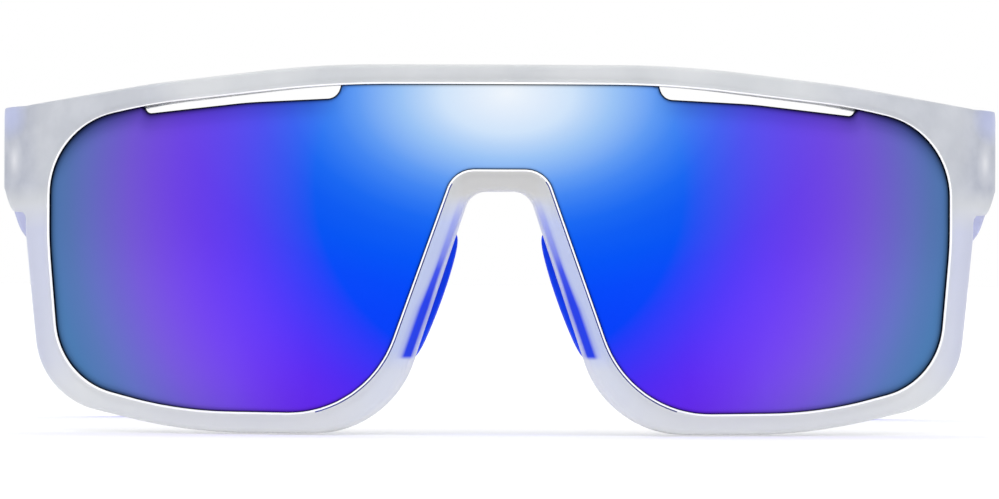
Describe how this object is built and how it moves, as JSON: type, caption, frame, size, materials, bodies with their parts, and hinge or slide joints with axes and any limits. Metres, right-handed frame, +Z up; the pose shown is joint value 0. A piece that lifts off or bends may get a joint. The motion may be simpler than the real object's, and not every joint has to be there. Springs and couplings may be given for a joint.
{
  "type": "wraparound sport sunglasses",
  "caption": "Wraparound sport sunglasses: one mirrored shield lens in a frosted full-rim frame, soft nose pads, and hinged temple arms with rubber tips.",
  "frame": {"origin": "centre of the bounding box's bottom, on the ground the open glasses stand on", "axes": "-Y is the way the wearer looks, +X is the wearer's left, +Z is up"},
  "size_m": [0.144, 0.1674, 0.0526],
  "materials": {
    "frosted_nylon": "frosted translucent clear nylon, satin",
    "mirror_lens": "blue to violet mirror coating on a polycarbonate shield",
    "blue_rubber": "matt blue rubber",
    "hinge_steel": "brushed stainless steel"
  },
  "bodies": {
    "front": {"front_frame": "frosted_nylon", "shield_lens": "mirror_lens", "nose_pad_left": "blue_rubber", "nose_pad_right": "blue_rubber", "hinge_front_leaf_left": "hinge_steel", "hinge_front_leaf_right": "hinge_steel", "hinge_screw_left": "hinge_steel", "hinge_screw_right": "hinge_steel", "front_leaf_screw_lower_left": "hinge_steel", "front_leaf_screw_upper_left": "hinge_steel", "front_leaf_screw_lower_right": "hinge_steel", "front_leaf_screw_upper_right": "hinge_steel"},
    "temple_left": {"temple_arm_left": "frosted_nylon", "temple_tip_left": "blue_rubber", "hinge_temple_leaf_left": "hinge_steel", "temple_leaf_screw_front_left": "hinge_steel", "temple_leaf_screw_rear_left": "hinge_steel"},
    "temple_right": {"temple_arm_right": "frosted_nylon", "temple_tip_right": "blue_rubber", "hinge_temple_leaf_right": "hinge_steel", "temple_leaf_screw_front_right": "hinge_steel", "temple_leaf_screw_rear_right": "hinge_steel"}
  },
  "joints": [
    {"name": "temple_fold_left", "type": "hinge", "parent": "front", "child": "temple_left", "pos_m": [0.0662, -0.03985, 0.0415], "axis": [0, 0, 1], "range_deg": [0, 90]},
    {"name": "temple_fold_right", "type": "hinge", "parent": "front", "child": "temple_right", "pos_m": [-0.0662, -0.03985, 0.0415], "axis": [0, 0, -1], "range_deg": [0, 82]}
  ]
}
